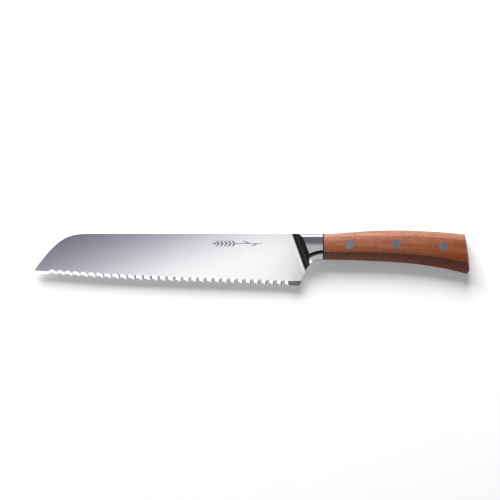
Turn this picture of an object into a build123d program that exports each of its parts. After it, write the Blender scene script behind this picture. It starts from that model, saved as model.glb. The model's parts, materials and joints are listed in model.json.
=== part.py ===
from build123d import *
import os
from math import asin, atan2, cos, degrees, radians, sin, sqrt, tan

# Bread knife lying flat on its right-hand side.
# X runs along the knife (point at -X, butt at +X), Y runs from the edge up to
# the spine, Z is the thickness.  The origin is under the middle of the overall
# outline, on the surface the knife lies on.  All lengths are millimetres.

# ---------------------------------------------------------------- dimensions
HALF_THICKNESS = 8.8        # handle and bolster, middle plane to the flat of a side
MID = HALF_THICKNESS        # height of the knife's middle plane
SPINE_Y = 18.93             # straight spine of the blade and top of the bolster

BLADE_HALF_T = 0.95         # half thickness at the spine beside the bolster
TAPER_X = 0.0017            # half thickness lost per mm towards the point
TAPER_Y = 0.0060            # half thickness lost per mm towards the edge
TAPER_FROM = (30.0, 18.93)  # where BLADE_HALF_T is measured
SEAT_HALF_T = 0.70          # rebate ground into the steel under the bolster's toe
SEAT_LENGTH = 6.0
TANG_HALF_T = 1.75
TANG_INSET = 0.06           # the wood stands this much proud of the tang all round

TOOTH_PITCH = 6.009
TOOTH_COUNT = 31
TOOTH_END_X = 28.27         # last cusp, beside the plain heel
TOOTH_RADIUS = (8.5, 6.2)   # groove radius of the scallops, at the point and at the heel
TOOTH_TILT = (21.0, 31.0)   # groove floor against the blade's side, likewise
HEEL_BEVEL_Y = -17.71       # top line of the plain bevel at the heel
EDGE_LAND = 0.12            # thickness left at the cutting edge

RAMP_TOP = (28.35, 18.93)   # toe line of the bolster, at the spine ...
RAMP_LOW = (40.20, -12.28)  # ... and where it meets the underside
RAMP_RADIUS = 7.6           # hollow of the bolster's front
RAMP_END_ANGLE = 76.0       # slope where the hollow ends
BROW_ANGLE = 42.0           # slope of the narrow facet above the hollow
BOLSTER_END = 54.95
SPACER_T = 0.95
SCALE_FRONT = BOLSTER_END + SPACER_T
ROUND_LOW = (0.9, 0.16)     # rounding from a side's flat down to the lower crease: width, drop
ROUND_TOP = (4.0, 0.50)     # rounding from the flat up to the shoulder: width, drop
CREASE_R = 6.2              # rounding of the bolster's lower crease
FOOT_R = 0.9                # rounding of the edge below the belly facet
EDGE_H = 5.4                # height of the bolster's wall at the spine over the middle plane
LOW_FACET_ANGLE = 29.0      # slope of the facet along the belly
TOP_FACET_ANGLE = 44.0      # mean slope of the rounded shoulder along the back
BUTT_LEAN = 8.0             # lean of the butt's end face, towards the middle plane

RIVETS = [("front", 75.85, 10.42), ("middle", 111.74, 11.04), ("rear", 148.16, 9.03)]
RIVET_HEAD_D = 7.0
RIVET_HEAD_T = 2.6
SLEEVE_D = 5.0
POST_D = 3.0
CLEAR = 0.05                # radial clearance of the rivets in their holes

# ------------------------------------------------------------------ outlines
POINT_CURVE = [(-168.81, -10.23), (-168.12, -8.98), (-166.88, -7.09), (-163.78, -2.85),
               (-160.68, 0.98), (-157.58, 4.60), (-154.48, 7.86), (-151.38, 10.80),
               (-148.28, 13.27), (-145.18, 15.20), (-142.08, 16.60), (-138.98, 17.58),
               (-135.88, 18.23), (-131.23, 18.74), (-125.03, 18.91), (-119.00, 18.93)]
UNDERSIDE = [(37.57, -20.34), (38.03, -19.03), (38.58, -17.50), (39.23, -15.62),
             (39.89, -13.76), (40.63, -11.90), (41.48, -10.08), (42.45, -8.38),
             (43.69, -6.63), (45.32, -4.93), (47.33, -3.42), (49.89, -2.18),
             (52.84, -1.40), (55.40, -1.13)]
# Handle sections: X, top outline, upper crease, lower crease, lower outline (Y).
SECTIONS = [
    (SCALE_FRONT, 18.93, 16.16, 4.46, -1.12),
    (65.2, 19.15, 16.42, 4.41, -1.27),
    (74.5, 19.84, 16.76, 4.37, -1.46),
    (83.8, 20.54, 17.10, 4.34, -1.79),
    (93.1, 21.11, 17.36, 4.29, -2.22),
    (102.4, 21.39, 17.49, 4.15, -2.66),
    (111.7, 21.50, 17.46, 3.75, -3.24),
    (121.0, 21.39, 17.18, 3.10, -3.95),
    (130.3, 21.05, 16.70, 2.28, -4.95),
    (139.6, 20.56, 16.07, 1.17, -6.31),
    (148.9, 19.91, 15.35, -0.25, -8.02),
    (158.2, 19.02, 14.58, -1.95, -10.06),
    (167.5, 17.99, 13.80, -3.98, -12.47),
    (176.8, 16.86, 13.00, -6.32, -15.07),
]
BUTT = [(165.02, 18.60), (165.21, 17.55), (165.81, 14.90), (166.35, 12.13), (166.93, 9.03),
        (167.47, 5.93), (167.90, 2.83), (168.26, -0.27), (168.54, -3.37), (168.72, -5.70),
        (168.81, -7.80)]
BUTT_LOW = (164.20, -11.75)  # where the rounded lower corner runs into the belly


def blade_half(x, y):
    """Half thickness of the blade blank at a point of its side."""
    return BLADE_HALF_T - TAPER_X * (TAPER_FROM[0] - x) - TAPER_Y * (TAPER_FROM[1] - y)


def edge_y(x):
    """Y of the cutting edge's line of cusps at x: a long, slightly bellied curve."""
    return -20.063 - 0.033693 * x - 4.46e-5 * x ** 2 - 8.653e-7 * x ** 3


EDGE_CURVE = ([(-168.81, -10.23), (-166.49, -11.01), (-163.70, -11.70)]
              + [(x, edge_y(x)) for x in (-158.9, -150, -135, -115, -90, -60, -30, 0, 20, 36.3)])


# ---------------------------------------------------- steel: shared outline
with BuildSketch(Plane.XY.offset(MID)) as steel_outline:
    with BuildLine():
        Spline(*POINT_CURVE, tangents=[(0.40, 0.92), (1, 0)])
        Line(POINT_CURVE[-1], (SCALE_FRONT, SPINE_Y))
        Spline(*[(x, yt - TANG_INSET) if i else (x, yt) for i, (x, yt, _, _, _) in enumerate(SECTIONS[:-1])],
               tangents=[(1, 0), (1, -0.11)])
        Line((167.5, SECTIONS[-2][1] - TANG_INSET), (167.5, SECTIONS[-2][4] + TANG_INSET))
        Spline(*[(x, yb + TANG_INSET) if i else (x, yb) for i, (x, _, _, _, yb) in enumerate(SECTIONS[:-1])],
               tangents=[(1, 0), (1, -0.27)])
        Line((SCALE_FRONT, SECTIONS[0][4]), UNDERSIDE[-1])
        Spline(*UNDERSIDE, tangents=[(0.30, 0.95), (1, 0)])
        Line(UNDERSIDE[0], EDGE_CURVE[-1])
        Spline(*EDGE_CURVE, tangents=[(1, -0.40), (1, -0.040)])
    make_face()

# Outline of the butt, the limit of everything at the rear of the handle.


def draw_butt(shift):
    """Closed outline round the rear of the handle, moved `shift` towards the blade."""
    def at(x, y):
        return (x - shift, y)

    Line(at(30, 30), at(164.6, 30))
    Line(at(164.6, 30), at(164.90, 19.4))
    Spline(at(164.90, 19.4), *[at(x, y) for x, y in BUTT[1:]])
    ThreePointArc(at(*BUTT[-1]), at(167.85, -11.15), at(*BUTT_LOW))
    Line(at(*BUTT_LOW), at(150, -30))
    Line(at(150, -30), at(30, -30))
    Line(at(30, -30), at(30, 30))


with BuildSketch(Plane.XY.offset(MID)) as tang_butt_limit:
    with BuildLine():
        draw_butt(TANG_INSET)
    make_face()

# --------------------------------------------------------------------- blade
RUN = (RAMP_LOW[0] - RAMP_TOP[0], RAMP_LOW[1] - RAMP_TOP[1])
RUN_LEN = sqrt(RUN[0] ** 2 + RUN[1] ** 2)
DOWN = (RUN[0] / RUN_LEN, RUN[1] / RUN_LEN)      # along the toe line, towards the edge
BACK = (-DOWN[1], DOWN[0])                        # square to it, towards the butt


def behind(distance, reach=260.0):
    """Corners of the half plane lying `distance` behind the toe line."""
    x0, y0 = RAMP_TOP[0] + BACK[0] * distance, RAMP_TOP[1] + BACK[1] * distance
    a = (x0 - DOWN[0] * 40, y0 - DOWN[1] * 40)
    b = (x0 + DOWN[0] * 90, y0 + DOWN[1] * 90)
    return [a, b, (b[0] + BACK[0] * reach, b[1] + BACK[1] * reach),
            (a[0] + BACK[0] * reach, a[1] + BACK[1] * reach)]


with BuildSketch(Plane.XY.offset(MID)) as blade_region:
    add(steel_outline.sketch)
    with BuildLine():
        Polyline(*behind(0), close=True)
    make_face(mode=Mode.SUBTRACT)
with BuildSketch(Plane.XY.offset(MID)) as seat_region:
    add(steel_outline.sketch)
    with BuildLine():
        Polyline(*behind(0), close=True)
    make_face(mode=Mode.INTERSECT)
    with BuildLine():
        Polyline(*behind(SEAT_LENGTH), close=True)
    make_face(mode=Mode.SUBTRACT)
with BuildSketch(Plane.XY.offset(MID)) as tang_region:
    add(steel_outline.sketch)
    with BuildLine():
        Polyline(*behind(SEAT_LENGTH), close=True)
    make_face(mode=Mode.INTERSECT)
    add(tang_butt_limit.sketch, mode=Mode.INTERSECT)

FACE_LEFT = Plane(origin=(TAPER_FROM[0], TAPER_FROM[1], MID + BLADE_HALF_T),
                  z_dir=(-TAPER_X, -TAPER_Y, 1))
FACE_RIGHT = Plane(origin=(TAPER_FROM[0], TAPER_FROM[1], MID - BLADE_HALF_T),
                   z_dir=(-TAPER_X, -TAPER_Y, -1))

groove_planes = []
for i in range(TOOTH_COUNT):
    share = i / (TOOTH_COUNT - 1)
    tilt = radians(TOOTH_TILT[0] + (TOOTH_TILT[1] - TOOTH_TILT[0]) * share)
    radius = TOOTH_RADIUS[0] + (TOOTH_RADIUS[1] - TOOTH_RADIUS[0]) * share
    x = TOOTH_END_X - TOOTH_PITCH * (TOOTH_COUNT - 0.5 - i)
    lift = radius - sqrt(radius ** 2 - (TOOTH_PITCH / 2) ** 2)
    y_low = edge_y(x) + lift / sin(tilt) - 0.05    # where the floor leaves the right side
    z_low = MID - blade_half(x, y_low)
    groove_planes.append((radius, Plane(
        origin=(x, y_low - radius * sin(tilt), z_low + radius * cos(tilt)),
        x_dir=(1, 0, 0), z_dir=(0, cos(tilt), sin(tilt)))))

# Plain bevels at the point and at the heel, each a flat ground on the left side.
heel_low = (33.0, edge_y(33.0))
heel_top_z = MID + blade_half(33.0, HEEL_BEVEL_Y)
heel_low_z = MID - blade_half(*heel_low) + EDGE_LAND
heel_fall = atan2(heel_top_z - heel_low_z, HEEL_BEVEL_Y - heel_low[1])
HEEL_BEVEL = Plane(origin=(33.0, HEEL_BEVEL_Y, heel_top_z), x_dir=(1, 0, 0),
                   z_dir=(0, -sin(heel_fall), cos(heel_fall)))
tip_dir = (0.9978, -0.0665)
tip_top_z = MID + blade_half(-163.0, -9.95)
tip_low_z = MID - blade_half(-163.0, -11.75) + EDGE_LAND
tip_fall = atan2(tip_top_z - tip_low_z, 1.80)
TIP_BEVEL = Plane(origin=(-163.0, -9.95, tip_top_z), x_dir=(*tip_dir, 0),
                  z_dir=(tip_dir[1] * sin(tip_fall), -tip_dir[0] * sin(tip_fall), cos(tip_fall)))

with BuildPart() as blade_blank:
    add(blade_region.sketch)
    extrude(amount=2, both=True)
    split(bisect_by=FACE_LEFT, keep=Keep.BOTTOM)
    split(bisect_by=FACE_RIGHT, keep=Keep.BOTTOM)
    with BuildSketch(HEEL_BEVEL):
        with Locations((TOOTH_END_X - 33.0 + 9.7, 0)):
            Rectangle(20, 20)
    extrude(amount=4, mode=Mode.SUBTRACT)
    with BuildSketch(TIP_BEVEL):
        with Locations((-10 + 5.55 + 0.2, 0)):
            Rectangle(20, 14)
    extrude(amount=3, mode=Mode.SUBTRACT)
    for radius, plane in groove_planes:     # one at a time: neighbouring grooves meet in a ridge
        with Locations(plane):
            Cylinder(radius, 16, mode=Mode.SUBTRACT)

with BuildPart() as blade:
    add(blade_blank.part)
    add(seat_region.sketch)
    extrude(amount=SEAT_HALF_T, both=True)
    add(tang_region.sketch)
    extrude(amount=TANG_HALF_T, both=True)
    with BuildSketch(Plane.XY.offset(MID - 3)):
        with Locations(*[(x, y) for _, x, y in RIVETS]):
            Circle(SLEEVE_D / 2 + CLEAR)
    extrude(amount=6, mode=Mode.SUBTRACT)
blade.part.label = "blade"

# ------------------------------------------------------------------- bolster
# One half each side of the steel: extruded outline, chamfered along the
# underside, crowned, then hollowed in front where it runs out onto the blade.


def rounding(start, width, drop, side):
    """Arc that leaves a side's flat at `start` (Y, Z) without a corner: middle and end point."""
    r = (width ** 2 + drop ** 2) / (2 * drop)
    half = asin(width / r) / 2
    return ((start[0] + side * r * sin(half), start[1] - r * (1 - cos(half))),
            (start[0] + side * width, start[1] - drop))


with BuildSketch(Plane.XY.offset(MID + SEAT_HALF_T)) as bolster_outline:
    add(steel_outline.sketch)
    with BuildLine():
        Polyline((0, 40), (BOLSTER_END, 40), (BOLSTER_END, -40), (0, -40), close=True)
    make_face(mode=Mode.INTERSECT)
    with BuildLine():
        Polyline(*behind(0), close=True)
    make_face(mode=Mode.INTERSECT)

front_z = blade_half(*RAMP_TOP) + 0.04            # height of the toe over the middle plane


with BuildPart() as bolster_left:
    add(bolster_outline.sketch)
    extrude(amount=HALF_THICKNESS - SEAT_HALF_T)
    # slanted facet along the hollow underside
    low_edges = bolster_left.faces().sort_by(Axis.Z)[-1].edges().sort_by(Axis.Y)
    under = [e for e in low_edges if e.bounding_box().max.Y < 0.5 and e.length > 0.3]
    chamfer(under, length=3.3, length2=5.6)
    top_face = bolster_left.faces().sort_by(Axis.Z)[-1]
    crease = [e for e in top_face.edges() if e.bounding_box().max.Y < 8 and e.bounding_box().min.X < 50 and e.length > 8]
    fillet(crease, CREASE_R)
    foot_z = MID + HALF_THICKNESS - 3.3
    foot = [e for e in bolster_left.edges() if e.length > 0.3
            and abs(e.bounding_box().min.Z - foot_z) < 0.05 and abs(e.bounding_box().max.Z - foot_z) < 0.05]
    fillet(foot, FOOT_R)
    # side rounded off towards the spine, with a rounded shoulder there
    side_z = MID + HALF_THICKNESS
    land_top = (SECTIONS[0][2] - ROUND_TOP[0], side_z)
    mid_top, end_top = rounding(land_top, *ROUND_TOP, 1)
    with BuildSketch(Plane.YZ.offset(20)):
        with BuildLine():
            Polyline((SPINE_Y + 5, MID + EDGE_H + 0.4), (SPINE_Y + 5, MID + 20), (-40, MID + 20),
                     (-40, side_z), land_top)
            ThreePointArc(land_top, mid_top, end_top)
            ThreePointArc(end_top, (SPINE_Y - 1.23, MID + EDGE_H + 2.2), (SPINE_Y, MID + EDGE_H + 0.4))
            Line((SPINE_Y, MID + EDGE_H + 0.4), (SPINE_Y + 5, MID + EDGE_H + 0.4))
        make_face()
    extrude(amount=45, mode=Mode.SUBTRACT)
    # hollow front: a quarter round that starts level with the blade's side
    toe_z = MID + front_z
    hollow = Plane(origin=(RAMP_TOP[0], RAMP_TOP[1], toe_z), x_dir=(*BACK, 0), z_dir=(*DOWN, 0))
    with BuildSketch(hollow):
        with BuildLine():
            # the plane's local Y points down, so heights are negative here
            up = -1 if hollow.y_dir.Z < 0 else 1
            a = radians(RAMP_END_ANGLE)
            arc_end = (RAMP_RADIUS * sin(a), up * RAMP_RADIUS * (1 - cos(a)))
            brow_end = (arc_end[0] + 6 * cos(radians(BROW_ANGLE)), arc_end[1] + up * 6 * sin(radians(BROW_ANGLE)))
            Polyline((-25, up * -0.0), (0, 0))
            RadiusArc((0, 0), arc_end, -RAMP_RADIUS * up)
            Polyline(arc_end, brow_end, (brow_end[0], up * 30), (-25, up * 30), (-25, 0))
        make_face()
    extrude(amount=60, both=True, mode=Mode.SUBTRACT)
    # room for the thicker tang behind the rebate
    with BuildSketch(Plane.XY.offset(MID)):
        with BuildLine():
            Polyline(*behind(SEAT_LENGTH), close=True)
        make_face()
    extrude(amount=TANG_HALF_T, mode=Mode.SUBTRACT)
bolster_left.part.label = "bolster_left"

with BuildPart() as bolster_right:
    mirror(bolster_left.part, about=Plane.XY.offset(MID))
bolster_right.part.label = "bolster_right"

# -------------------------------------------------------- handle scales, left


def half_section(x, yt, ytc, yc, yb, inner=TANG_HALF_T):
    """Corner points of the left half's cross section: Y, Z."""
    side_z = MID + HALF_THICKNESS
    land_low, land_top = (yc + ROUND_LOW[0], side_z), (ytc - ROUND_TOP[0], side_z)
    mid_low, crease = rounding(land_low, *ROUND_LOW, -1)
    mid_top, shoulder = rounding(land_top, *ROUND_TOP, 1)
    z_low = crease[1] - (yc - yb) * tan(radians(LOW_FACET_ANGLE))
    z_top = shoulder[1] - (yt - ytc) * tan(radians(TOP_FACET_ANGLE))
    return {
        "inner_low": (yb, MID + inner), "foot": (yb, z_low - FOOT_R * 0.6),
        "low": (yb + FOOT_R * 0.6, z_low + FOOT_R * 0.6 * tan(radians(LOW_FACET_ANGLE))),
        "crease": crease, "mid_low": mid_low,
        "land_low": land_low, "land_top": land_top, "mid_top": mid_top, "shoulder": shoulder,
        "bulge": ((yt * 0.46 + ytc * 0.54) + 0.12, (z_top * 0.46 + shoulder[1] * 0.54) + 0.36),
        "top": (yt, z_top), "inner_top": (yt, MID + inner),
    }


def draw_section(p):
    """Closed outline of a half section, drawn inside a BuildLine."""
    Line(p["inner_low"], p["foot"])
    Line(p["foot"], p["low"])
    Line(p["low"], p["crease"])
    ThreePointArc(p["crease"], p["mid_low"], p["land_low"])
    Line(p["land_low"], p["land_top"])
    ThreePointArc(p["land_top"], p["mid_top"], p["shoulder"])
    ThreePointArc(p["shoulder"], p["bulge"], p["top"])
    Line(p["top"], p["inner_top"])
    Line(p["inner_top"], p["inner_low"])


# room that the scale may fill at the butt, whose end face leans in towards the side
with BuildPart() as butt_block:
    for height in (0.0, 12.0):
        with BuildSketch(Plane.XY.offset(MID + height)):
            with BuildLine():
                draw_butt(height * tan(radians(BUTT_LEAN)))
            make_face()
    loft(ruled=True)

with BuildPart() as handle_scale_left:
    for x, yt, ytc, yc, yb in SECTIONS:
        with BuildSketch(Plane.YZ.offset(x)):
            with BuildLine():
                draw_section(half_section(x, yt, ytc, yc, yb))
            make_face()
    loft()
    add(butt_block.part, mode=Mode.INTERSECT)
    with BuildSketch(Plane.XY.offset(MID)):
        with Locations(*[(x, y) for _, x, y in RIVETS]):
            Circle(SLEEVE_D / 2 + CLEAR)
    extrude(amount=20, mode=Mode.SUBTRACT)
    with BuildSketch(Plane.XY.offset(MID + HALF_THICKNESS - RIVET_HEAD_T)):
        with Locations(*[(x, y) for _, x, y in RIVETS]):
            Circle(RIVET_HEAD_D / 2 + CLEAR)
    extrude(amount=10, mode=Mode.SUBTRACT)
handle_scale_left.part.label = "handle_scale_left"

with BuildPart() as handle_scale_right:
    mirror(handle_scale_left.part, about=Plane.XY.offset(MID))
handle_scale_right.part.label = "handle_scale_right"

# ------------------------------------------------------------------- spacers
with BuildPart() as spacer_left:
    with BuildSketch(Plane.YZ.offset(BOLSTER_END)):
        with BuildLine():
            draw_section(half_section(*SECTIONS[0]))
        make_face()
    extrude(amount=SPACER_T)
spacer_left.part.label = "spacer_left"

with BuildPart() as spacer_right:
    mirror(spacer_left.part, about=Plane.XY.offset(MID))
spacer_right.part.label = "spacer_right"

# -------------------------------------------------------------------- rivets
rivets = []
for name, x, y in RIVETS:
    with BuildPart() as sleeve:
        with BuildSketch(Plane.XY.offset(MID + HALF_THICKNESS - RIVET_HEAD_T)):
            with Locations((x, y)):
                Circle(RIVET_HEAD_D / 2)
        extrude(amount=RIVET_HEAD_T)
        with BuildSketch(Plane.XY.offset(MID - HALF_THICKNESS + RIVET_HEAD_T + 1.0)):
            with Locations((x, y)):
                Circle(SLEEVE_D / 2)
        extrude(amount=2 * HALF_THICKNESS - 2 * RIVET_HEAD_T - 1.0)
        with BuildSketch(Plane.XY):
            with Locations((x, y)):
                Circle(POST_D / 2 + CLEAR)
        extrude(amount=2 * HALF_THICKNESS - 1.4, mode=Mode.SUBTRACT)
    sleeve.part.label = f"rivet_{name}_sleeve"
    with BuildPart() as post:
        with BuildSketch(Plane.XY):
            with Locations((x, y)):
                Circle(RIVET_HEAD_D / 2)
        extrude(amount=RIVET_HEAD_T)
        with BuildSketch(Plane.XY):
            with Locations((x, y)):
                Circle(POST_D / 2)
        extrude(amount=2 * HALF_THICKNESS - 1.9)
    post.part.label = f"rivet_{name}_post"
    rivets += [sleeve, post]

# --------------------------------------------------------------------- files
os.makedirs("parts", exist_ok=True)
for piece in [blade, bolster_left, bolster_right, spacer_left, spacer_right,
              handle_scale_left, handle_scale_right] + rivets:
    export_step(piece.part, f"parts/{piece.part.label}.step")
    print(piece.part.label, round(piece.part.volume, 1), len(piece.part.solids()), piece.part.is_valid)
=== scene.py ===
import json
from math import radians, sin, cos, pi, atan2, sqrt
import bpy
import bmesh
from mathutils import Vector, Matrix


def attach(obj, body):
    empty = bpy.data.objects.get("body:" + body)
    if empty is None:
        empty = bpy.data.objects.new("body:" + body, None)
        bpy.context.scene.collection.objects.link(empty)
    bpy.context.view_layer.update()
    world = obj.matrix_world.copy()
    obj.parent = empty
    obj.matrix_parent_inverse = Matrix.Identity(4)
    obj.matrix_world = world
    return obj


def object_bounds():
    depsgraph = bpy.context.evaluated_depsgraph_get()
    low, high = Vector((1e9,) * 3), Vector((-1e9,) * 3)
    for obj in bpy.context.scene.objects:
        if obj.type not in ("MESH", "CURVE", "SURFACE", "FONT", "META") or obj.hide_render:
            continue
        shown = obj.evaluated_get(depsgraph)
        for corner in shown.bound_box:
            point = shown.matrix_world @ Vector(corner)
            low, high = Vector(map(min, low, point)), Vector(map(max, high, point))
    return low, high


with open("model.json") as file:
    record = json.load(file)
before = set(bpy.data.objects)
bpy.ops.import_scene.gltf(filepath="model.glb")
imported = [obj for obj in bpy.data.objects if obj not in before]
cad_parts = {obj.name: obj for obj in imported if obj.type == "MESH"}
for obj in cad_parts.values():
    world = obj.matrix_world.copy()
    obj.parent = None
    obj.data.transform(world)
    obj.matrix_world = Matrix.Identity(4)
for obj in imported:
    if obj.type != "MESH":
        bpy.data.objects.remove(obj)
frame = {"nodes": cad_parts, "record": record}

cad_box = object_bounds()
scene = bpy.context.scene
scene.view_settings.view_transform = "Standard"
scene.view_settings.look = "None"
scene.view_settings.exposure = 0.0
scene.view_settings.gamma = 1.0

lo, hi = cad_box
lo, hi = Vector(lo), Vector(hi)
MID_Z = (lo.z + hi.z) / 2


# --------------------------------------------------------------- camera
def look_at(obj, target, up=Vector((0, 1, 0))):
    d = (Vector(target) - obj.location).normalized()
    right = d.cross(up).normalized()
    top = right.cross(d)
    obj.matrix_world = Matrix.Translation(obj.location) @ Matrix((right, top, -d)).transposed().to_4x4()


cam_data = bpy.data.cameras.new("camera")
LENS = 500.0
cam_data.lens = LENS
cam_data.sensor_width = 36.0
cam = bpy.data.objects.new("camera", cam_data)
scene.collection.objects.link(cam)
VIEW = 0.3875                      # width of the picture at the knife's middle plane
cam.location = (-0.0014, 0.0063, MID_Z + VIEW * LENS / 36.0)
look_at(cam, (cam.location.x, cam.location.y, 0))
cam_data.clip_end = 40
scene.camera = cam


# the bolster's toe line, where it runs out onto the blade: a point of it and the direction square to it
TOE = (0.02835, 0.01893)
BACK = (0.9349, 0.3550)


# --------------------------------------------------------------- nodes helper
class Nodes:
    """Short hand for building a material's node tree."""

    def __init__(self, name):
        self.mat = bpy.data.materials.new(name)
        self.mat.use_nodes = True
        self.t = self.mat.node_tree
        self.bsdf = self.t.nodes["Principled BSDF"]

    def new(self, kind, **values):
        n = self.t.nodes.new(kind)
        for k, v in values.items():
            if k.startswith("in_"):
                key = k[3:]
                key = int(key) if key.isdigit() else key.replace("_", " ")
                n.inputs[key].default_value = v
            else:
                setattr(n, k, v)
        return n

    def link(self, a, b):
        self.t.links.new(a, b)

    def set(self, **values):
        for k, v in values.items():
            self.bsdf.inputs[k.replace("_", " ")].default_value = v

    def coords(self, scale, rotation=(0, 0, 0)):
        c = self.new("ShaderNodeTexCoord")
        m = self.new("ShaderNodeMapping")
        m.inputs["Scale"].default_value = scale
        m.inputs["Rotation"].default_value = rotation
        self.link(c.outputs["Object"], m.inputs["Vector"])
        return m.outputs["Vector"]

    def noise(self, vector, scale, detail=2.0, rough=0.5, distortion=0.0):
        n = self.new("ShaderNodeTexNoise")
        n.inputs["Scale"].default_value = scale
        n.inputs["Detail"].default_value = detail
        n.inputs["Roughness"].default_value = rough
        n.inputs["Distortion"].default_value = distortion
        self.link(vector, n.inputs["Vector"])
        return n.outputs["Fac"]

    def ramp(self, fac, stops, interpolation="LINEAR"):
        r = self.new("ShaderNodeValToRGB")
        r.color_ramp.interpolation = interpolation
        e = r.color_ramp.elements
        while len(e) < len(stops):
            e.new(0.5)
        for el, (p, c) in zip(e, stops):
            el.position = p
            el.color = (*c, 1) if len(c) == 3 else c
        self.link(fac, r.inputs["Fac"])
        return r.outputs["Color"]

    def mix(self, fac, a, b, blend="MIX"):
        m = self.new("ShaderNodeMix", data_type="RGBA", blend_type=blend)
        for sock, val in ((m.inputs[0], fac), (m.inputs[6], a), (m.inputs[7], b)):
            if isinstance(val, (int, float)):
                sock.default_value = val
            elif isinstance(val, tuple):
                sock.default_value = (*val, 1) if len(val) == 3 else val
            else:
                self.link(val, sock)
        return m.outputs[2]

    def map(self, value, a, b, c, d):
        m = self.new("ShaderNodeMapRange")
        self.link(value, m.inputs["Value"])
        for i, v in zip(range(1, 5), (a, b, c, d)):
            m.inputs[i].default_value = v
        return m.outputs["Result"]

    def math(self, op, a, b=None):
        m = self.new("ShaderNodeMath", operation=op)
        for sock, val in zip(m.inputs, (a, b)):
            if val is None:
                continue
            if isinstance(val, (int, float)):
                sock.default_value = val
            else:
                self.link(val, sock)
        return m.outputs[0]

    def bump(self, height, strength, distance, normal=None):
        b = self.new("ShaderNodeBump")
        b.inputs["Strength"].default_value = strength
        b.inputs["Distance"].default_value = distance
        self.link(height, b.inputs["Height"])
        if normal is not None:
            self.link(normal, b.inputs["Normal"])
        return b.outputs["Normal"]


def satin_steel():
    """Blade: stainless steel with a fine satin finish ground from the spine to the edge."""
    n = Nodes("satin_steel")
    fine = n.noise(n.coords((7000, 160, 7000)), 1.0, 3.0, 0.6)
    lines = n.noise(n.coords((2200, 30, 2200)), 1.0, 3.0, 0.55)
    broad = n.noise(n.coords((45, 30, 45)), 1.0, 3.0, 0.5)
    both = n.math("ADD", n.math("MULTIPLY", fine, 0.45), n.math("MULTIPLY", lines, 0.55))
    tone = n.ramp(both, [(0.30, (0.625, 0.621, 0.638)), (0.70, (0.672, 0.669, 0.680))])
    cloud = n.ramp(broad, [(0.3, (0.975, 0.975, 0.98)), (0.7, (1.0, 1.0, 1.0))])
    n.link(n.mix(1.0, tone, cloud, "MULTIPLY"), n.bsdf.inputs["Base Color"])
    n.link(n.map(both, 0.3, 0.7, 0.14, 0.19), n.bsdf.inputs["Roughness"])
    n.link(n.bump(both, 0.10, 0.000006), n.bsdf.inputs["Normal"])
    n.set(Metallic=1.0)
    return n.mat


def polished_steel():
    """Bolster: mirror polish with faint hairlines along the knife, finished satin like the blade at its
    toe."""
    n = Nodes("polished_steel")
    hair = n.noise(n.coords((300, 5000, 5000)), 1.0, 3.0, 0.6)
    c = n.new("ShaderNodeTexCoord")
    # distance behind the toe line, in metres
    reach = n.new("ShaderNodeVectorMath", operation="DOT_PRODUCT")
    n.link(c.outputs["Object"], reach.inputs[0])
    reach.inputs[1].default_value = (BACK[0], BACK[1], 0.0)
    behind = n.math("SUBTRACT", reach.outputs["Value"], TOE[0] * BACK[0] + TOE[1] * BACK[1])
    toe = n.map(behind, 0.0015, 0.0042, 1.0, 0.0)
    tone = n.ramp(hair, [(0.3, (0.628, 0.625, 0.635)), (0.7, (0.670, 0.666, 0.673))])
    tone = n.mix(toe, tone, (0.56, 0.556, 0.568))
    n.link(tone, n.bsdf.inputs["Base Color"])
    rough = n.map(hair, 0.3, 0.7, 0.02, 0.045)
    n.link(n.math("ADD", rough, n.math("MULTIPLY", toe, 0.12)), n.bsdf.inputs["Roughness"])
    n.link(n.bump(hair, 0.05, 0.000002), n.bsdf.inputs["Normal"])
    n.set(Metallic=1.0)
    return n.mat


def rivet_steel():
    """Rivet heads: ground flush with the wood, with a straight fine brushing."""
    n = Nodes("rivet_steel")
    lines = n.noise(n.coords((5200, 220, 5200)), 1.0, 3.0, 0.6)
    spots = n.noise(n.coords((700, 700, 700)), 1.0, 2.0, 0.5)
    both = n.math("ADD", n.math("MULTIPLY", lines, 0.7), n.math("MULTIPLY", spots, 0.3))
    n.link(n.ramp(both, [(0.32, (0.345, 0.328, 0.373)), (0.68, (0.525, 0.507, 0.552))]), n.bsdf.inputs["Base Color"])
    n.link(n.map(both, 0.3, 0.7, 0.26, 0.36), n.bsdf.inputs["Roughness"])
    n.link(n.bump(both, 0.15, 0.00001), n.bsdf.inputs["Normal"])
    n.set(Metallic=1.0)
    return n.mat


def fibre():
    """Spacer: black vulcanised fibre, slightly mottled."""
    n = Nodes("black_fibre")
    spots = n.noise(n.coords((1500, 1500, 1500)), 1.0, 3.0, 0.6)
    n.link(n.ramp(spots, [(0.3, (0.006, 0.006, 0.007)), (0.8, (0.020, 0.018, 0.018))]), n.bsdf.inputs["Base Color"])
    n.link(n.map(spots, 0.3, 0.7, 0.5, 0.7), n.bsdf.inputs["Roughness"])
    n.link(n.bump(spots, 0.3, 0.00003), n.bsdf.inputs["Normal"])
    n.bsdf.inputs["Specular IOR Level"].default_value = 0.3
    return n.mat


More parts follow.
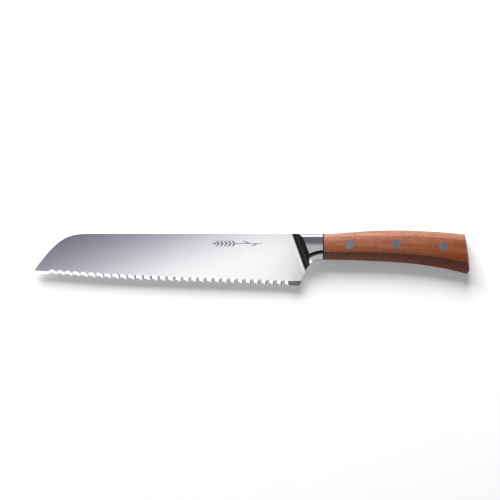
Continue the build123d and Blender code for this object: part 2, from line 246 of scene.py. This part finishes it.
def wood():
    """Handle: oiled reddish hardwood, grain along the knife, fine flecks and short dark pores."""
    n = Nodes("oiled_hardwood")
    warp = n.noise(n.coords((14, 40, 40)), 1.0, 2.0, 0.5)
    base_v = n.coords((1, 1, 1))
    push = n.new("ShaderNodeVectorMath", operation="SCALE")
    push.inputs[0].default_value = (0.0, 1.0, 0.4)
    n.link(n.map(warp, 0.0, 1.0, -0.004, 0.004), push.inputs["Scale"])
    moved = n.new("ShaderNodeVectorMath", operation="ADD")
    n.link(base_v, moved.inputs[0])
    n.link(push.outputs[0], moved.inputs[1])

    def stretch(scale):
        m = n.new("ShaderNodeMapping")
        m.inputs["Scale"].default_value = scale
        n.link(moved.outputs[0], m.inputs["Vector"])
        return m.outputs["Vector"]

    bands = n.noise(stretch((9, 150, 90)), 1.0, 3.0, 0.55)          # growth bands
    streak = n.noise(stretch((45, 950, 600)), 1.0, 4.0, 0.6)        # fine grain
    fleck = n.noise(stretch((420, 900, 900)), 1.0, 3.0, 0.6)        # mottle
    pores = n.noise(stretch((260, 5200, 3600)), 1.0, 3.0, 0.65)     # short dark pores
    base = n.ramp(bands, [(0.28, (0.285, 0.085, 0.038)), (0.46, (0.345, 0.118, 0.060)),
                          (0.60, (0.385, 0.148, 0.082)), (0.76, (0.430, 0.185, 0.112))])
    grain = n.ramp(streak, [(0.28, (0.72, 0.66, 0.62)), (0.50, (0.97, 0.96, 0.95)), (0.75, (1.12, 1.13, 1.14))])
    col = n.mix(0.75, base, grain, "MULTIPLY")
    mottle = n.ramp(fleck, [(0.34, (0.76, 0.71, 0.68)), (0.62, (1.10, 1.12, 1.14))])
    col = n.mix(0.95, col, mottle, "MULTIPLY")
    pore = n.ramp(pores, [(0.30, (0.50, 0.42, 0.38)), (0.42, (1, 1, 1))])
    col = n.mix(0.6, col, pore, "MULTIPLY")
    # painted shade and light: the side is painted darker towards the belly, darkest along the lower crease, and
    # paler towards the spine, as the faces shade away from or turn towards the key light; height above the lower
    # crease, as a share of the side
    c = n.new("ShaderNodeTexCoord")
    xyz = n.new("ShaderNodeSeparateXYZ")
    n.link(c.outputs["Object"], xyz.inputs[0])
    d = n.math("MAXIMUM", n.math("SUBTRACT", xyz.outputs[0], 0.085), 0.0)
    crease = n.math("SUBTRACT", 0.0044, n.math("MULTIPLY", n.math("MULTIPLY", d, d), 1.234))
    share = n.math("DIVIDE", n.math("SUBTRACT", xyz.outputs[1], crease), 0.0135)
    share = n.math("ADD", share, n.map(bands, 0.3, 0.7, -0.05, 0.05))
    painted_shade_and_light = n.ramp(n.map(share, -0.6, 1.6, 0.0, 1.0), [
        (0.05, (0.62, 0.51, 0.42)), (0.18, (0.49, 0.38, 0.29)), (0.235, (0.40, 0.30, 0.22)),
        (0.262, (0.40, 0.30, 0.22)), (0.285, (0.60, 0.50, 0.42)), (0.45, (0.72, 0.60, 0.52)), (0.50, (0.86, 0.80, 0.76)),
        (0.57, (1.10, 1.22, 1.32)), (0.65, (1.03, 1.11, 1.19)), (0.73, (0.99, 1.18, 1.40)),
        (0.80, (0.93, 1.02, 1.14)), (0.90, (0.96, 1.10, 1.26))])
    col = n.mix(1.0, col, painted_shade_and_light, "MULTIPLY")
    # painted sheen: the rounding towards the spine, whose normals face the key light, is painted paler
    g = n.new("ShaderNodeNewGeometry")
    up = n.new("ShaderNodeSeparateXYZ")
    n.link(g.outputs["Normal"], up.inputs[0])
    painted_sheen = n.ramp(up.outputs[1], [
        (0.03, (1.0, 1.0, 1.0)), (0.12, (1.03, 1.04, 1.06)), (0.25, (1.06, 1.04, 1.08)),
        (0.60, (1.22, 1.58, 1.86)), (0.75, (1.18, 1.60, 1.90))])
    col = n.mix(1.0, col, painted_sheen, "MULTIPLY")
    # and the wood is a deeper red towards the butt
    along = n.math("ADD", n.map(xyz.outputs[0], 0.05, 0.17, 0.0, 1.0), n.map(bands, 0.3, 0.7, -0.03, 0.03))
    deep = n.ramp(along, [
        (0.03, (1.06, 1.12, 1.16)), (0.21, (1.0, 1.0, 1.0)), (0.42, (1.03, 1.03, 1.03)), (0.58, (0.94, 0.91, 0.86)),
        (0.77, (0.94, 0.87, 0.78)), (0.90, (0.89, 0.74, 0.61)), (0.98, (0.88, 0.70, 0.57))])
    col = n.mix(1.0, col, deep, "MULTIPLY")
    n.link(col, n.bsdf.inputs["Base Color"])
    n.link(n.map(streak, 0.3, 0.7, 0.38, 0.52), n.bsdf.inputs["Roughness"])
    h = n.math("ADD", n.math("MULTIPLY", pores, 0.6), n.math("MULTIPLY", streak, 0.4))
    n.link(n.bump(h, 0.25, 0.00008), n.bsdf.inputs["Normal"])
    n.bsdf.inputs["Specular IOR Level"].default_value = 0.40
    return n.mat


MATS = {"blade_steel": satin_steel(), "bolster_steel": polished_steel(), "rivet_steel": rivet_steel(),
        "handle_wood": wood(), "spacer_fibre": fibre()}
slots = {s["node"]: s["material_slot"] for s in frame["record"]["subparts"]}


def paint(obj, mat):
    obj.data.materials.clear()
    obj.data.materials.append(mat)


for name, obj in frame["nodes"].items():
    paint(obj, MATS[slots[name]])


# --------------------------------------------------------------- floor
def plane(name, corners):
    me = bpy.data.meshes.new(name)
    me.from_pydata([tuple(c) for c in corners], [], [(0, 1, 2, 3)])
    o = bpy.data.objects.new(name, me)
    scene.collection.objects.link(o)
    return o


floor = plane("floor", [(-3, -3, -0.0002), (3, -3, -0.0002), (3, 3, -0.0002), (-3, 3, -0.0002)])
nf = Nodes("pale_floor")
grain = nf.noise(nf.coords((30, 30, 30)), 1.0, 2.0, 0.5)
nf.link(nf.ramp(grain, [(0.3, (0.885, 0.885, 0.89)), (0.7, (0.90, 0.90, 0.90))]), nf.bsdf.inputs["Base Color"])
nf.set(Roughness=0.9, Emission_Color=(0.98, 0.98, 1.0, 1), Emission_Strength=0.22)
nf.bsdf.inputs["Specular IOR Level"].default_value = 0.0
paint(floor, nf.mat)
floor.visible_glossy = False                         # the world's lower half stands for it in polished steel


# --------------------------------------------------------------- etched mark
def etched_steel():
    """Etched steel: a grey, matt, slightly grainy patch in the satin finish."""
    n = Nodes("etched_steel")
    grit = n.noise(n.coords((6000, 6000, 6000)), 1.0, 3.0, 0.6)
    n.link(n.ramp(grit, [(0.3, (0.27, 0.262, 0.285)), (0.7, (0.36, 0.352, 0.375))]), n.bsdf.inputs["Base Color"])
    n.link(n.map(grit, 0.3, 0.7, 0.34, 0.46), n.bsdf.inputs["Roughness"])
    n.link(n.bump(grit, 0.3, 0.000006), n.bsdf.inputs["Normal"])
    n.set(Metallic=1.0)
    return n.mat


def wheat_ear():
    """A small ear of wheat on the blade: each grain, awn and stalk a thin closed prism in the steel's face."""
    # the left face of the blade, as the CAD tapers it towards the point and the edge
    def face(x, y):
        return MID_Z + 1e-3 * (0.95 - 0.0017 * (30 - x) - 0.0060 * (18.93 - y))

    bm = bmesh.new()

    def prism(pts):
        top = [bm.verts.new((x * 1e-3, y * 1e-3, face(x, y) + 1.2e-5)) for x, y in pts]
        low = [bm.verts.new((x * 1e-3, y * 1e-3, face(x, y) - 4e-5)) for x, y in pts]
        bm.faces.new(top)
        bm.faces.new(low[::-1])
        k = len(pts)
        for i in range(k):
            bm.faces.new((top[i], low[i], low[(i + 1) % k], top[(i + 1) % k]))

    def grain(x, y, angle, length, width):
        pts = []
        for i in range(16):
            t = 2 * pi * i / 16
            u, v = 0.5 * length * cos(t), 0.5 * width * sin(t) * (1 - 0.35 * cos(t))
            pts.append((x + u * cos(angle) - v * sin(angle), y + u * sin(angle) + v * cos(angle)))
        prism(pts)

    def stroke(x0, y0, x1, y1, w0, w1):
        d = ((x1 - x0) ** 2 + (y1 - y0) ** 2) ** 0.5
        nx, ny = -(y1 - y0) / d, (x1 - x0) / d
        prism([(x0 - nx * w0 / 2, y0 - ny * w0 / 2), (x1 - nx * w1 / 2, y1 - ny * w1 / 2),
               (x1 + nx * w1 / 2, y1 + ny * w1 / 2), (x0 + nx * w0 / 2, y0 + ny * w0 / 2)])

    cy = 11.3
    for i in range(5):                               # grains in pairs, the ear pointing towards the knife's point
        x = -13.2 - 3.05 * i
        for side in (-1, 1):
            grain(x - 1.1, cy + side * (1.25 - 0.06 * i), pi - side * radians(40), 3.1, 1.05)
            stroke(x - 2.5, cy + side * (2.30 - 0.09 * i), x - 4.3, cy + side * (2.75 - 0.16 * i), 0.24, 0.14)
        stroke(x + 1.0, cy, x - 2.05, cy, 0.30, 0.28)
    grain(-28.9, cy, pi, 3.0, 1.15)
    stroke(-30.4, cy, -31.0, cy, 0.2, 0.12)
    stroke(-12.2, cy, 7.6, cy, 0.46, 0.36)
    grain(-4.4, cy + 1.05, radians(158), 6.2, 0.85)  # two leaves on the stalk
    grain(2.0, cy - 0.98, radians(-158), 5.4, 0.80)
    bm.normal_update()
    me = bpy.data.meshes.new("etched_wheat_ear")
    bm.to_mesh(me)
    bm.free()
    o = bpy.data.objects.new("etched_wheat_ear", me)
    scene.collection.objects.link(o)
    return o


mark = wheat_ear()
paint(mark, etched_steel())
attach(mark, "root")


# --------------------------------------------------------------- light
def area(name, loc, target, size, size_y, energy, color=(1, 1, 1), spread=180):
    d = bpy.data.lights.new(name, "AREA")
    d.shape = "RECTANGLE"
    d.size, d.size_y = size, size_y
    d.energy = energy
    d.color = color
    d.spread = radians(spread)
    o = bpy.data.objects.new(name, d)
    scene.collection.objects.link(o)
    o.location = loc
    look_at(o, target)
    return o


az, el, dist = radians(-14), radians(37), 1.3
key_dir = Vector((sin(az) * cos(el), cos(az) * cos(el), sin(el)))
key = area("key", key_dir * dist, (0, 0, 0), 1.20, 0.95, 33.0, (1.0, 0.99, 0.975))
key.visible_glossy = False                           # reflections see the panels below instead

STEEL = 1.45                                         # the steels reflect 69%, and the panels make up for it

# Studio surroundings that only reflections see: soft boxes and dark flags.
world = bpy.data.worlds.new("studio")
scene.world = world
world.use_nodes = True


class WorldNodes(Nodes):
    def __init__(self, w):
        self.t = w.node_tree
        self.out = self.t.nodes["World Output"]


wn = WorldNodes(world)
bg = world.node_tree.nodes["Background"]
geo = wn.new("ShaderNodeTexCoord")
sep = wn.new("ShaderNodeSeparateXYZ")
wn.link(geo.outputs["Generated"], sep.inputs[0])
dx, dy, dz = sep.outputs[0], sep.outputs[1], sep.outputs[2]


def smooth(n, value, a, b, c=0.0, d=1.0):
    m = n.new("ShaderNodeMapRange", interpolation_type="SMOOTHSTEP")
    n.link(value, m.inputs["Value"])
    for i, v in zip(range(1, 5), (a, b, c, d)):
        m.inputs[i].default_value = v
    return m.outputs["Result"]


def lobe(n, direction, inner, outer):
    """1 within `inner` degrees of a direction, falling to 0 at `outer`."""
    d = Vector(direction).normalized()
    v = n.new("ShaderNodeVectorMath", operation="DOT_PRODUCT")
    n.link(geo.outputs["Generated"], v.inputs[0])
    v.inputs[1].default_value = d
    return smooth(n, v.outputs["Value"], cos(radians(outer)), cos(radians(inner)))


def mul(n, a, b):
    return n.math("MULTIPLY", a, b)


def add_(n, a, b):
    return n.math("ADD", a, b)


elev = wn.math("ARCSINE", dz)
azim = wn.math("ARCTAN2", dy, dx)                    # -pi..pi, 0 towards +X
low = smooth(wn, elev, radians(64), radians(50))
away = mul(wn, smooth(wn, dy, -0.02, 0.15), low)                      # grey studio behind the spine
strip = mul(wn, mul(wn, smooth(wn, dy, 0.35, 0.60), low), smooth(wn, wn.math("ABSOLUTE", dx), 0.26, 0.14))
near_edge = mul(wn, smooth(wn, dy, -0.25, -0.50), smooth(wn, dx, -0.50, -0.15))
front = mul(wn, near_edge, add_(wn, mul(wn, mul(wn, smooth(wn, elev, radians(37), radians(33)),
                                               smooth(wn, elev, radians(12), radians(18))),
                                        mul(wn, smooth(wn, dx, 0.62, 0.48), 0.46)),
                                mul(wn, mul(wn, smooth(wn, elev, radians(54), radians(51.5)),
                                            smooth(wn, elev, radians(46.5), radians(49))), 0.17)))
spot = lobe(wn, (0.62, -0.60, 0.52), 8, 13)
butt_side = mul(wn, lobe(wn, (1.0, 0.1, 0.35), 25, 50), 0.5)
level_up = smooth(wn, elev, radians(-1), radians(1))
below = wn.math("SUBTRACT", 1.0, level_up)           # the table as polished steel sees it
below = mul(wn, below, smooth(wn, dy, -0.10, 0.10, 0.16, 0.62))
up = add_(wn, add_(wn, mul(wn, away, 0.34), mul(wn, strip, 0.72)), front)
gloss = add_(wn, mul(wn, up, level_up), below)
gloss = add_(wn, gloss, add_(wn, mul(wn, spot, 0.9), butt_side))
gloss = mul(wn, add_(wn, gloss, 0.018), STEEL)
path = wn.new("ShaderNodeLightPath")
AMBIENT = 0.14
level = add_(wn, mul(wn, path.outputs["Is Glossy Ray"], gloss),
             mul(wn, wn.math("SUBTRACT", 1.0, path.outputs["Is Glossy Ray"]), AMBIENT))
level = wn.math("MAXIMUM", level, path.outputs["Is Camera Ray"])
bg.inputs["Color"].default_value = (0.97, 0.98, 1.0, 1)
wn.link(level, bg.inputs["Strength"])


def card(name, corners, build):
    """A glowing panel seen in reflections only."""
    o = plane(name, corners)
    n = Nodes(name)
    n.t.nodes.remove(n.bsdf)
    e = n.new("ShaderNodeEmission")
    c = n.new("ShaderNodeTexCoord")
    s = n.new("ShaderNodeSeparateXYZ")
    n.link(c.outputs["Object"], s.inputs[0])
    build(n, s.outputs, e)
    n.link(e.outputs[0], n.t.nodes["Material Output"].inputs["Surface"])
    paint(o, n.mat)
    o.visible_camera = False
    o.visible_diffuse = False
    o.visible_shadow = False
    o.visible_transmission = False
    o.visible_volume_scatter = False
    return o


CARD_H = 0.35                                        # overhead panel above the middle plane
GAIN = 1.0 + CARD_H / (VIEW * LENS / 36.0)          # where the camera finds a point's reflection


def overhead(n, xyz, e):
    x, y = xyz[0], xyz[1]
    # long graded panel over the blade: dark over the point's back, bright over the heel
    p = n.math("SUBTRACT", x, n.math("MULTIPLY", y, 2.86))
    u = n.map(p, GAIN * (90 - 315.2) * 0.775e-3, GAIN * (370 - 315.2) * 0.775e-3, 0.0, 1.0)
    tone = n.ramp(u, [
        (0.000, (0.088, 0.081, 0.099)), (0.071, (0.149, 0.136, 0.175)), (0.143, (0.207, 0.189, 0.244)),
        (0.214, (0.260, 0.248, 0.306)), (0.286, (0.275, 0.274, 0.327)), (0.357, (0.326, 0.323, 0.394)),
        (0.429, (0.420, 0.412, 0.475)), (0.500, (0.508, 0.515, 0.560)), (0.571, (0.620, 0.630, 0.661)),
        (0.643, (0.742, 0.750, 0.758)), (0.750, (0.897, 0.875, 0.853)), (0.850, (1.048, 1.050, 1.003)),
        (0.911, (0.950, 0.920, 0.894)), (1.000, (0.827, 0.805, 0.810))])
    # over the bolster: a grey strip beside a lighter one, and nothing in front of that
    dark = smooth(n, y, 0.0106, 0.0113)
    none = smooth(n, y, -0.002, -0.008)
    band = n.mix(dark, (0.36, 0.348, 0.363), (0.112, 0.104, 0.120))
    band = n.mix(none, band, (0.0, 0.0, 0.0))
    tone = n.mix(smooth(n, y, -0.040, -0.100), tone, (0.0, 0.0, 0.0))
    tone = n.mix(smooth(n, x, 0.0415, 0.0440), tone, band)
    # over the handle: a plain soft grey
    handle = n.mix(none, (0.260, 0.252, 0.274), (0.0, 0.0, 0.0))
    tone = n.mix(smooth(n, x, 0.060, 0.064), tone, handle)
    n.link(tone, e.inputs["Color"])
    e.inputs["Strength"].default_value = 1.3 * STEEL


Z1 = MID_Z + CARD_H
card("overhead_panel", [(-0.30, -0.16, Z1), (0.26, -0.16, Z1), (0.26, 0.20, Z1), (-0.30, 0.20, Z1)], overhead)


def side(n, xyz, e):
    e.inputs["Color"].default_value = (1.0, 0.99, 1.0, 1)
    e.inputs["Strength"].default_value = 1.25 * STEEL


card("edge_panel", [(-0.60, -0.35, 0.02), (-0.03, -0.35, 0.02), (-0.03, -0.35, 0.52), (-0.60, -0.35, 0.52)], side)

# a smaller panel square to that one, which only the scallops near the point see on their left walls
card("point_panel", [(-0.06, -0.34, 0.01), (-0.06, -0.14, 0.01), (-0.06, -0.14, 0.24), (-0.06, -0.34, 0.24)], side)
